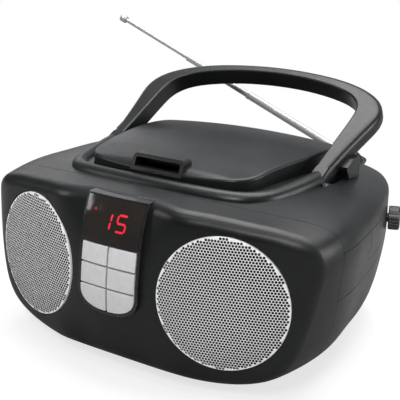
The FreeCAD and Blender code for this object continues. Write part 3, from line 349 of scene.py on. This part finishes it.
def winding():
    """Copper wire in turns stacked along z."""
    net = material_net("winding_copper")
    # Dark troughs and bright crests across each turn: painted shade between the turns and a
    # painted highlight along each wire.
    turns = net.bands("Z", "SIN", scale=620.0, distortion=0.8)
    stain = net.noise(scale=120.0)
    tone = net.mix(turns, low=(0.24, 0.075, 0.02), high=(0.80, 0.38, 0.15))
    tone = net.mix(net.ramp(stain, span=(0.4, 0.75), to=(0.0, 0.4)),
                   low=tone, high=(0.33, 0.12, 0.04))
    return net.surface(color=tone, rough=net.blend(stain, low=0.2, high=0.42),
                       metal=0.85, normal=net.bump(turns, depth=0.0001))


def laminations():
    """Steel sheets stacked along y, with some rust."""
    net = material_net("core_laminations")
    sheets = net.bands("Y", "SAW", scale=310.0, distortion=0.2)
    rust = net.noise(scale=90.0, detail=4.0, rough=0.6)
    tone = net.mix(sheets, low=(0.10, 0.095, 0.09), high=(0.34, 0.33, 0.32))
    tone = net.mix(net.ramp(rust, span=(0.5, 0.8), to=(0.0, 0.5)),
                   low=tone, high=(0.16, 0.085, 0.04))
    return net.surface(color=tone, rough=net.blend(rust, low=0.35, high=0.6),
                       metal=0.8, normal=net.bump(sheets, depth=0.00012))


def lens():
    """Coated glass whose tint turns with the view."""
    net = material_net("pickup_lens_glass")
    grain = net.noise(scale=600.0, detail=2.0)
    tone = net.mix(net.facing(blend=0.5), low=(0.10, 0.16, 0.42), high=(0.45, 0.30, 0.62))
    return net.surface(color=tone, rough=net.blend(grain, low=0.02, high=0.05), spec=0.8,
                       coat=1.0, coat_rough=0.02, ior=1.6,
                       normal=net.bump(grain, depth=0.000002))


CASE = moulded("case_black", (0.0072, 0.0077, 0.0083), rough=0.35, grain=2300.0,
               depth=0.000018, spec=0.33, wear=0.30, wear_color=(0.11, 0.11, 0.115))
SIDE = moulded("side_black", (0.013, 0.0133, 0.014), rough=0.38, grain=2300.0,
               depth=0.00002, wear=0.35)
BEZEL = moulded("panel_black", (0.010, 0.010, 0.011), rough=0.26, grain=3200.0,
                depth=0.000008, spec=0.5, wear=0.35)
INNER = moulded("inner_black", (0.045, 0.045, 0.048), rough=0.55, grain=1500.0,
                depth=0.00003, wear=0.2)
HUB = moulded("hub_black", (0.030, 0.030, 0.032), rough=0.35, grain=3000.0,
              depth=0.00001, wear=0.3)
COMPONENT = moulded("component_epoxy", (0.022, 0.022, 0.024), rough=0.5, grain=2000.0,
                    depth=0.00002, wear=0.3)
KEYS = moulded("key_silver", (0.68, 0.68, 0.685), rough=0.42, grain=4200.0,
               depth=0.000008, vary=0.05, wear=0.35, wear_color=(0.74, 0.74, 0.75))
GRILLE = painted("grille_silver", (1.0, 1.0, 1.0), metal=0.06, rough=0.30)
# Near-black for the back of the grille sheet and the hole walls: painted shade that darkens
# the holes.
GRILLE_SHADE = moulded("grille_painted_shade", (0.010, 0.010, 0.0105), rough=0.7, grain=2500.0,
                      depth=0.00001, spec=0.15, wear=0.1)
BASKET = moulded("basket_black_enamel", (0.012, 0.012, 0.013), rough=0.45, grain=1800.0,
                 depth=0.00002, spec=0.4, wear=0.5, wear_color=(0.3, 0.3, 0.3))
STEEL = bare_metal("steel_zinc", (0.60, 0.61, 0.63), rough=0.28)
SPRING = bare_metal("contact_nickel", (0.66, 0.65, 0.61), rough=0.22)
CHROME = chrome()
BOARD = laminate()
RUBBER = rubber()
PAPER = paper()
SMOKED = smoked()
LED = lit("led_red", (0.86, 0.012, 0.03), power=1.05)
LAMP = lit("lamp_red", (0.55, 0.008, 0.02), power=0.5)
FERRITE = ferrite()
WINDING = winding()
CORE = laminations()
LENS = lens()

# Material, then the pieces that wear it. Keys are silver; every other piece is CASE.
PIECES = (
    (BEZEL, "control_bezel"),
    (SMOKED, "display_window"),
    (LED, "led_digits"),
    (LAMP, "power_led"),
    (COMPONENT, "led_module board_components left_controls mains_inlet"),
    (BOARD, "control_board main_board"),
    (STEEL, "small_screws case_screws lid_hinge_pins handle_pins antenna_pin"),
    (STEEL, "spindle_motor guide_rods lead_screw sled_motor"),
    (SIDE, "antenna_mount side_plate_right side_plate_left"),
    (SIDE, "tuning_knob volume_knob function_switch"),
    (CHROME, "antenna_section_1 antenna_section_2 antenna_section_3 antenna_tip"),
    (INNER, "drive_chassis pickup_sled tuning_capacitor"),
    (RUBBER, "drive_dampers feet"),
    (HUB, "disc_hub"),
    (LENS, "pickup_lens"),
    (CORE, "transformer_core"),
    (WINDING, "transformer_winding"),
    (SPRING, "battery_contacts"),
    (BASKET, "speaker_basket_right speaker_basket_left"),
    (FERRITE, "speaker_magnet_right speaker_magnet_left"),
    (PAPER, "speaker_cone_right speaker_cone_left"),
    (GRILLE, "speaker_grille_right speaker_grille_left"),
)
MATERIAL_OF = {piece: material for material, pieces in PIECES for piece in pieces.split()}

for name, piece in NODES.items():
    material = KEYS if name.startswith("key_") else MATERIAL_OF.get(name, CASE)
    if not piece.material_slots:
        piece.data.materials.append(material)
    for slot in piece.material_slots:
        slot.material = material


# ------------------------------------------------------------------ mesh helpers
def new_object(name, verts, faces, material, body, smooth=True):
    mesh = bpy.data.meshes.new(name)
    mesh.from_pydata(verts, [], faces)
    mesh.validate()
    mesh.update()
    if smooth:
        mesh.shade_smooth()
    mesh.materials.append(material)
    made = bpy.data.objects.new(name, mesh)
    bpy.context.scene.collection.objects.link(made)
    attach(made, body)
    return made


def bridge(faces, first, second):
    """Quads between two closed loops of vertex numbers."""
    for i in range(len(first)):
        j = (i + 1) % len(first)
        faces.append((first[i], second[i], second[j], first[j]))


# ------------------------------------------------------------------ grilles
GRILLE_YAW = math.radians(15.74)  # turned outwards
GRILLE_PITCH = math.radians(3.74)  # tipped upwards
GRILLE_CENTRE = (0.07268, -0.08528, 0.064)  # metres, of the right grille

# Millimetres, in the grille's own frame with z out of the cabinet
HOLE_STEP = 1.92
ROW_FACTOR = 0.8660254  # row step over hole step in a staggered field
HOLE_RADIUS = 0.82
HOLE_SIDES = 10
FIELD_RADIUS = 40.78  # holes stay inside this
SHEET_RADIUS = 40.85
SHEET_SIDES = 200
SHEET_THICKNESS = 0.4
BACK_SCALE = 0.992  # back of the sheet over its front
DOME_RADIUS = 40.4
DOME_FOOT = 0.3
DOME_RISE = 2.6
# Rolled rim, from the border down into the recess and up inside: radius, z
RIM_PROFILE = [(40.95, 0.12), (41.0, -0.3), (41.0, -2.9), (40.5, -2.9), (40.5, -0.5)]
NO_HOLE = -1


def dome_height(radius):
    """Flat crown that turns down more and more towards the rim."""
    part = min(1.0, radius / DOME_RADIUS)
    return DOME_FOOT + DOME_RISE * (1.0 - 0.45 * part ** 2 - 0.55 * part ** 7)


def add_outline(points, edges, x, y, radius, sides, phase=0.0):
    start = len(points)
    for i in range(sides):
        angle = 2 * math.pi * (i + phase) / sides
        points.append(Vector((x + radius * math.cos(angle), y + radius * math.sin(angle))))
        edges.append((start + i, start + (i + 1) % sides))


def flat_sheet():
    """Points, the hole each point belongs to, and triangles of the perforated disc."""
    points, edges = [], []
    reach = int(FIELD_RADIUS / (HOLE_STEP * ROW_FACTOR)) + 1
    for row in range(-reach, reach + 1):
        y = row * HOLE_STEP * ROW_FACTOR
        for column in range(-reach, reach + 1):
            x = (column + 0.5 * (row % 2)) * HOLE_STEP
            if math.hypot(x, y) <= FIELD_RADIUS - HOLE_RADIUS:
                add_outline(points, edges, x, y, HOLE_RADIUS, HOLE_SIDES, phase=0.5)
    hole_points = len(points)
    add_outline(points, edges, 0.0, 0.0, SHEET_RADIUS, SHEET_SIDES)
    flat, _, cut, sources, _, _ = delaunay_2d_cdt(points, edges, [], 0, 1e-7)
    holes = [ids[0] // HOLE_SIDES if ids and ids[0] < hole_points else NO_HOLE
             for ids in sources]
    triangles = []
    for a, b, c in cut:
        if holes[a] == holes[b] == holes[c] != NO_HOLE:
            continue  # this triangle fills a hole
        if (flat[b] - flat[a]).cross(flat[c] - flat[a]) < 0:
            b, c = c, b
        triangles.append((a, b, c))
    return flat, holes, triangles


def grille_mesh():
    """Vertices, faces and the numbers of the faces painted dark as shade: the back and the
    hole walls.
    """
    flat, holes, triangles = flat_sheet()
    back = len(flat)  # offset from a front vertex to the one behind it
    verts = [(p.x, p.y, dome_height(p.length)) for p in flat]
    verts += [(p.x * BACK_SCALE, p.y * BACK_SCALE, dome_height(p.length) - SHEET_THICKNESS)
              for p in flat]
    faces, dark = [], []
    for a, b, c in triangles:
        faces.append((a, b, c))
        dark.append(len(faces))
        faces.append((c + back, b + back, a + back))
    # a dict keeps the sides in order
    sides = dict.fromkeys(side for a, b, c in triangles for side in ((a, b), (b, c), (c, a)))
    border = set()
    for a, b in sides:
        if (b, a) in sides:
            continue
        if holes[a] != NO_HOLE and holes[b] != NO_HOLE:
            dark.append(len(faces))
            faces.append((b, a, a + back, b + back))
        else:
            border.update((a, b))
    angles = {i: math.atan2(flat[i].y, flat[i].x) for i in border}
    order = sorted(angles, key=angles.get)
    loops = [order]
    for radius, z in RIM_PROFILE:
        loops.append(range(len(verts), len(verts) + len(order)))
        verts += [(radius * math.cos(angles[i]), radius * math.sin(angles[i]), z)
                  for i in order]
    loops.append([i + back for i in order])
    for first, second in zip(loops, loops[1:]):
        bridge(faces, first, second)
    return verts, faces, dark


def place_grille(tag, side, verts, faces, dark):
    """Side is 1 at the right and -1 at the left."""
    out = Vector((math.sin(GRILLE_YAW) * math.cos(GRILLE_PITCH) * side,
                  -math.cos(GRILLE_YAW) * math.cos(GRILLE_PITCH), math.sin(GRILLE_PITCH)))
    level = Vector((math.cos(GRILLE_YAW), math.sin(GRILLE_YAW) * side, 0))
    rise = out.cross(level)
    turn = Matrix((rise.cross(out), rise, out)).transposed()
    x, y, z = GRILLE_CENTRE
    centre = Vector((x * side, y, z))
    placed = [tuple(turn @ (Vector(v) / MM) + centre) for v in verts]
    grille = new_object("perforated_grille_" + tag, placed, faces, GRILLE, "cabinet",
                        smooth=False)
    # the back and the hole walls wear the painted shade
    grille.data.materials.append(GRILLE_SHADE)
    for i in dark:
        grille.data.polygons[i].material_index = 1
    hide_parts("speaker_grille_" + tag)


GRILLE_PARTS = grille_mesh()
for side, tag in ((1, "right"), (-1, "left")):
    place_grille(tag, side, *GRILLE_PARTS)

# ------------------------------------------------------------------ key tops
KEY_TRIM = 0.0007  # taken off the width and the height of a key


def key_top(tag):
    """The same key, trimmed to leave a wider gap round it."""
    name = "key_" + tag
    old = NODES[name]
    mesh = old.data.copy()
    mesh.transform(old.matrix_world)
    for axis in (0, 2):
        low = min(v.co[axis] for v in mesh.vertices)
        high = max(v.co[axis] for v in mesh.vertices)
        size = high - low
        middle = 0.5 * (high + low)
        for v in mesh.vertices:
            v.co[axis] = middle + (v.co[axis] - middle) * (size - KEY_TRIM) / size
    mesh.materials.clear()
    mesh.materials.append(KEYS)
    top = bpy.data.objects.new("top_of_" + name, mesh)
    bpy.context.scene.collection.objects.link(top)
    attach(top, "button_" + tag)
    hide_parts(name)


for tag in ("l1", "l2", "l3", "r1", "r2", "r3"):
    key_top(tag)

# ------------------------------------------------------------------ antenna cap
CAP_SIDES = 48
# Radius and distance along the antenna, in millimetres; it starts and ends on the axis
CAP_PROFILE = [
    (0.0, 0.0), (2.3, 0.0), (2.75, 0.15), (2.95, 0.5), (3.0, 0.9),
    (3.0, 1.5), (2.86, 1.62), (2.86, 1.9), (3.0, 2.02), (3.0, 4.7),
    (2.93, 5.15), (2.7, 5.5), (2.3, 5.68), (1.6, 5.62), (0.0, 5.5),
]


def antenna_cap():
    """Turned end cap: a short drum with rounded rims, a shallow groove and a dished end."""
    axis = Vector((-math.cos(ANTENNA_TILT), 0.0, math.sin(ANTENNA_TILT)))
    across = Vector((0, 1, 0))
    square = axis.cross(across)
    old = NODES["antenna_tip"]
    points = [old.matrix_world @ v.co for v in old.data.vertices]
    middle = sum(points, Vector()) / len(points)
    start = min((p - middle).dot(axis) for p in points)
    verts, faces, rings = [], [], []
    for radius, along in CAP_PROFILE:
        centre = middle + axis * (start + along / MM)
        if radius == 0.0:
            verts.append(centre)
            continue
        rings.append(range(len(verts), len(verts) + CAP_SIDES))
        for i in range(CAP_SIDES):
            angle = 2 * math.pi * i / CAP_SIDES
            spoke = across * math.cos(angle) + square * math.sin(angle)
            verts.append(centre + spoke * (radius / MM))
    for first, second in zip(rings, rings[1:]):
        bridge(faces, first, second)
    for i in range(CAP_SIDES):
        j = (i + 1) % CAP_SIDES
        faces.append((0, rings[0][i], rings[0][j]))
        faces.append((len(verts) - 1, rings[-1][j], rings[-1][i]))
    cap = new_object("antenna_end_cap", [tuple(v) for v in verts], faces, CHROME,
                     "antenna_upper")
    bm = bmesh.new()
    bm.from_mesh(cap.data)
    bmesh.ops.recalc_face_normals(bm, faces=bm.faces)
    bm.to_mesh(cap.data)
    bm.free()
    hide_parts("antenna_tip")


antenna_cap()


# ------------------------------------------------------------------ stage
def floor_material():
    """Pale floor that fades to pure white for the camera and is grey to other rays."""
    net = material_net("floor_pale")
    x, y, _ = net.node("ShaderNodeSeparateXYZ", {0: net.coords["Object"]}).outputs
    distance = net.math("SQRT", net.plus(net.times(x, x), net.times(y, y)))
    far = net.ramp(distance, span=(0.13, 0.30), to=(0.72, 1.0))
    camera_ray = net.camera_ray()
    fade = net.times(far, camera_ray)
    pale = net.mix(net.noise(scale=60.0), low=(0.90, 0.90, 0.90), high=(0.93, 0.93, 0.93))
    seen = net.mix(camera_ray, low=(0.30, 0.30, 0.30), high=pale)
    matt = net.node("ShaderNodeBsdfDiffuse", {"Color": seen})
    white = net.node("ShaderNodeEmission", {"Color": (1, 1, 1), "Strength": 1.0})
    return net.mix_shaders(fade, matt, white)


def lay_floor():
    mesh = bpy.data.meshes.new("floor")
    bm = bmesh.new()
    bmesh.ops.create_circle(bm, cap_ends=True, segments=96, radius=9.0)
    bm.to_mesh(mesh)
    bm.free()
    floor = bpy.data.objects.new("floor", mesh)
    mesh.materials.append(floor_material())
    bpy.context.scene.collection.objects.link(floor)


def light_world():
    """White to the camera; to other rays a gradient, brightest at the upper rear right."""
    world = bpy.data.worlds.new("studio")
    bpy.context.scene.world = world
    net = Net(world, "ShaderNodeOutputWorld")
    bright_way = Vector((0.42, 0.80, 0.42)).normalized()
    toward = net.dot(net.coords["Generated"], bright_way)
    # from -1..1 to 0..1
    part = net.node("ShaderNodeMapRange", {"Value": toward, "From Min": -1.0, "From Max": 1.0})
    gradient = net.node("ShaderNodeValToRGB", {0: part.outputs[0]})
    gradient.color_ramp.interpolation = "EASE"
    dark, bright = gradient.color_ramp.elements
    dark.position, dark.color = 0.30, (0.045, 0.046, 0.048, 1)
    bright.position, bright.color = 0.95, (0.44, 0.45, 0.47, 1)
    room = net.node("ShaderNodeBackground", {"Color": gradient.outputs[0], "Strength": 1.0})
    white = net.node("ShaderNodeBackground", {"Color": (1, 1, 1), "Strength": 1.0})
    net.mix_shaders(net.camera_ray(), room, white)


def softbox(name, place, target, size, power):
    light = bpy.data.lights.new(name, "AREA")
    light.shape = "RECTANGLE"
    light.size, light.size_y = size
    light.energy = power
    box = bpy.data.objects.new(name, light)
    box.location = place
    box.rotation_mode = "QUATERNION"
    box.rotation_quaternion = (Vector(target) - Vector(place)).to_track_quat("-Z", "Y")
    bpy.context.scene.collection.objects.link(box)


lay_floor()
light_world()

# Name, place, aim point, width and height in metres, power in watts
SOFTBOXES = (
    ("top_box", (0.0, 0.45, 1.5), (0, 0.02, 0.08), (1.6, 1.1), 34.0),
    ("front_left_box", (-1.5, -1.0, 0.9), (0, 0, 0.07), (0.7, 0.7), 7.5),
    ("front_right_box", (0.6, -1.5, 1.6), (0, 0, 0.07), (0.6, 0.6), 24.0),
    ("strip_box", (0.05, -0.42, 1.15), (0, -0.02, 0.10), (1.1, 0.07), 2.2),
    ("rear_right_box", (1.45, 0.6, 0.38), (0.05, 0.03, 0.06), (0.5, 0.7), 9.0),
    ("rear_left_box", (-1.35, 1.0, 0.62), (-0.08, 0.0, 0.10), (0.9, 0.6), 1.6),
)
for box in SOFTBOXES:
    softbox(*box)

# ------------------------------------------------------------------ camera
CAMERA_PLACE = (0.33621952, -0.50096742, 0.29250791)
CAMERA_RIGHT = Vector((0.830424805, 0.557130723, 0.0))
CAMERA_BACK = Vector((0.52837476, -0.78756149, 0.31712304))  # from the set to the camera
SENSOR_WIDTH = 36.0  # millimetres, as is the focal length
FOCAL_LENGTH = 83.7153


def place_camera():
    scene = bpy.context.scene
    optics = bpy.data.cameras.new("camera")
    camera = bpy.data.objects.new("camera", optics)
    scene.collection.objects.link(camera)
    optics.sensor_width = SENSOR_WIDTH
    optics.lens = FOCAL_LENGTH
    optics.clip_start, optics.clip_end = 0.02, 60.0
    axes = Matrix((CAMERA_RIGHT, CAMERA_BACK.cross(CAMERA_RIGHT), CAMERA_BACK))
    camera.rotation_mode = "QUATERNION"
    camera.rotation_quaternion = axes.transposed().to_quaternion()
    camera.location = CAMERA_PLACE
    scene.camera = camera
    scene.view_settings.view_transform = "Standard"
    scene.view_settings.look = "None"
    scene.view_settings.exposure = 0.0


place_camera()
